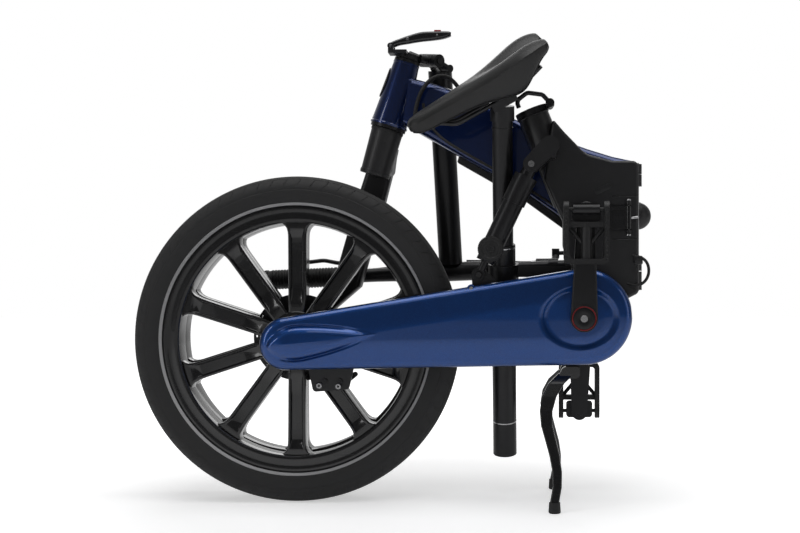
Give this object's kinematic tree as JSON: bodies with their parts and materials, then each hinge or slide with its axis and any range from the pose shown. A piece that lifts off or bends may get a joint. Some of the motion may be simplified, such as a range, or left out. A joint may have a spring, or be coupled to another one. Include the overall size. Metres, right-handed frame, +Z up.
{
  "type": "folding bicycle",
  "caption": "Two-part folding bicycle in its folded state: side-by-side cast wheels, one-sided chaincase swingarm, stowed saddle and folded stem.",
  "frame": {"origin": "the floor, under the centre of the folded bicycle's box without any free cord", "axes": "+X along the wheels, from the rear axle to the crank; +Y from the drive side to the other side; +Z up"},
  "size_m": [0.8372, 0.3307, 0.758],
  "materials": {
    "blue": "metallic blue lacquer, high gloss",
    "black_casting": "satin black paint on cast magnesium",
    "black_gloss": "gloss black paint",
    "black_anodised": "black anodised, satin",
    "steel": "brushed",
    "tyre": "matt rubber with a grey line",
    "rubber": "matt, ribbed on the grips",
    "black_plastic": "fine texture",
    "red_plastic": "satin",
    "saddle_cover": "smooth synthetic leather"
  },
  "bodies": {
    "rear_frame": {"main_frame": "black_casting", "mating_frame": "black_casting", "crank_shell": "black_casting", "post_dock": "black_casting", "crank_bearings": "black_anodised", "frame_pins": "steel", "seat_clamp_band": "black_anodised"},
    "swingarm": {"chaincase_cover": "blue", "chaincase_inner": "black_casting", "rear_axle": "steel", "rear_caliper": "black_anodised", "chain": "steel"},
    "driven_gear": {"rear_sprocket": "steel"},
    "rear_wheel": {"rear_tyre": "tyre", "rear_rim": "black_gloss", "rear_spokes": "black_gloss", "rear_hub": "black_gloss", "rear_brake_disc": "steel"},
    "crankset": {"crank_spindle": "steel", "chainring": "steel", "crank_arm_right": "black_anodised", "crank_arm_left": "black_anodised"},
    "right_pedal_knuckle": {"pedal_knuckle_right": "black_anodised"},
    "right_pedal": {"pedal_right": "black_plastic"},
    "left_pedal_knuckle": {"pedal_knuckle_left": "black_anodised"},
    "left_pedal": {"pedal_left": "black_plastic"},
    "kickstand": {"kickstand_legs": "black_gloss", "kickstand_feet": "rubber"},
    "shock": {"shock_body": "black_anodised", "shock_knob": "black_plastic"},
    "shock_plunger": {"shock_rod": "steel"},
    "seat": {"seatpost_lower": "black_anodised", "seatpost_upper": "black_anodised", "seat_clamp_head": "black_anodised", "saddle_rails": "steel", "saddle": "saddle_cover"},
    "seat_quick_release": {"seat_clamp_lever": "black_anodised"},
    "frame_latch": {"frame_latch_lever": "black_gloss"},
    "front_half": {"front_frame": "blue", "front_hinge_lugs": "black_casting", "headset_cups": "black_anodised", "lower_trim": "black_plastic", "head_hose": "rubber"},
    "battery_pack": {"battery": "black_plastic"},
    "steering": {"fork": "black_casting", "front_axle": "steel", "stem_hinge_block": "black_casting"},
    "front_wheel": {"front_tyre": "tyre", "front_rim": "black_gloss", "front_spokes": "black_gloss", "front_hub": "black_gloss", "front_brake_disc": "steel"},
    "handlebar_stem": {"stem": "black_anodised", "handlebar": "black_anodised", "grips": "rubber", "brake_clamps": "black_anodised"},
    "left_brake_lever": {"brake_lever_left": "black_anodised"},
    "right_brake_lever": {"brake_lever_right": "black_anodised"},
    "stem_latch": {"stem_latch_lever": "black_gloss"},
    "stem_catch": {"stem_latch_catch": "red_plastic"}
  },
  "joints": [
    {"name": "suspension", "type": "hinge", "parent": "rear_frame", "child": "swingarm", "pos_m": [0.299, -0.034, 0.295], "axis": [0, 1, 0], "range_deg": [0, 3.2], "stiffness_Nm_per_rad": 1600, "springref_deg": -2.86},
    {"name": "rear_wheel_spin", "type": "hinge", "parent": "swingarm", "child": "rear_wheel", "pos_m": [-0.156, -0.034, 0.259], "axis": [0, 1, 0], "continuous": true},
    {"name": "crank_spin", "type": "hinge", "parent": "rear_frame", "child": "crankset", "pos_m": [0.299, -0.034, 0.295], "axis": [0, 1, 0], "continuous": true},
    {"name": "rear_sprocket_spin", "type": "hinge", "parent": "swingarm", "child": "driven_gear", "pos_m": [-0.156, -0.034, 0.259], "axis": [0, 1, 0], "continuous": true},
    {"name": "right_pedal_spin", "type": "hinge", "parent": "crankset", "child": "right_pedal_knuckle", "pos_m": [0.30188, -0.141, 0.45998], "axis": [0, 1, 0], "continuous": true},
    {"name": "right_pedal_fold", "type": "hinge", "parent": "right_pedal_knuckle", "child": "right_pedal", "pos_m": [0.30188, -0.1555, 0.45998], "axis": [-1, 0, 0], "range_deg": [0, 90]},
    {"name": "left_pedal_spin", "type": "hinge", "parent": "crankset", "child": "left_pedal_knuckle", "pos_m": [0.29612, 0.073, 0.13003], "axis": [0, 1, 0], "continuous": true},
    {"name": "left_pedal_fold", "type": "hinge", "parent": "left_pedal_knuckle", "child": "left_pedal", "pos_m": [0.29612, 0.0875, 0.13003], "axis": [-1, 0, 0], "range_deg": [0, 90]},
    {"name": "kickstand_fold", "type": "hinge", "parent": "rear_frame", "child": "kickstand", "pos_m": [0.287, -0.034, 0.212], "axis": [0, -1, 0], "range_deg": [0, 75]},
    {"name": "shock_swing", "type": "hinge", "parent": "rear_frame", "child": "shock", "pos_m": [0.218, -0.081, 0.533], "axis": [0, 1, 0], "range_deg": [-0.05, 0.1503]},
    {"name": "shock_slide", "type": "slide", "parent": "shock", "child": "shock_plunger", "axis": [0.4303, 0, 0.9027], "range_m": [0, 0.01001]},
    {"name": "seat_lift", "type": "slide", "parent": "rear_frame", "child": "seat", "axis": [0, -0.225, 0.9744], "range_m": [0, 0.28]},
    {"name": "seat_lever_turn", "type": "hinge", "parent": "rear_frame", "child": "seat_quick_release", "pos_m": [0.24706, -0.034, 0.63179], "axis": [0, -1, 0], "range_deg": [0, 80]},
    {"name": "frame_latch_turn", "type": "hinge", "parent": "rear_frame", "child": "frame_latch", "pos_m": [0.371, -0.0675, 0.451], "axis": [0, 0, 1], "range_deg": [0, 110]},
    {"name": "frame_fold", "type": "hinge", "parent": "rear_frame", "child": "front_half", "pos_m": [0.387, -0.003, 0.45], "axis": [0, 0, -1], "range_deg": [0, 180]},
    {"name": "battery_slide", "type": "slide", "parent": "front_half", "child": "battery_pack", "axis": [-0.9272, 0, 0.3746], "range_m": [-0.24, 0]},
    {"name": "steer", "type": "hinge", "parent": "front_half", "child": "steering", "pos_m": [-0.004, 0.028, 0.657], "axis": [0.2756, 0, 0.9613], "range_deg": [-1, 1]},
    {"name": "front_wheel_spin", "type": "hinge", "parent": "steering", "child": "front_wheel", "pos_m": [-0.165, 0.028, 0.259], "axis": [0, 1, 0], "continuous": true},
    {"name": "stem_fold", "type": "hinge", "parent": "steering", "child": "handlebar_stem", "pos_m": [0.04906, 0.03997, 0.715], "axis": [0.7044, -0.6978, -0.1297], "range_deg": [0, 161.6]},
    {"name": "left_brake_pull", "type": "hinge", "parent": "handlebar_stem", "child": "left_brake_lever", "pos_m": [-0.10286, 0.1533, 0.38083], "axis": [0, 0, 1], "range_deg": [0, 12], "stiffness_Nm_per_rad": 1, "springref_deg": -5.73},
    {"name": "right_brake_pull", "type": "hinge", "parent": "handlebar_stem", "child": "right_brake_lever", "pos_m": [0.25677, 0.1533, 0.39717], "axis": [0, 0, -1], "range_deg": [0, 12], "stiffness_Nm_per_rad": 1, "springref_deg": -5.73},
    {"name": "stem_latch_turn", "type": "hinge", "parent": "steering", "child": "stem_latch", "pos_m": [-0.011, -0.001, 0.731], "axis": [0, -1, 0], "range_deg": [0, 95]},
    {"name": "stem_catch_press", "type": "slide", "parent": "stem_latch", "child": "stem_catch", "axis": [0, 0, -1], "range_m": [0, 0.003], "stiffness_N_per_m": 800, "springref_m": -0.002}
  ],
  "couplings": [
    {"joint": "shock_swing", "follows": "suspension", "ratio": 0.031336},
    {"joint": "shock_slide", "follows": "suspension", "m_per_rad": 0.17574},
    {"joint": "rear_sprocket_spin", "follows": "crank_spin", "ratio": 2.5}
  ]
}
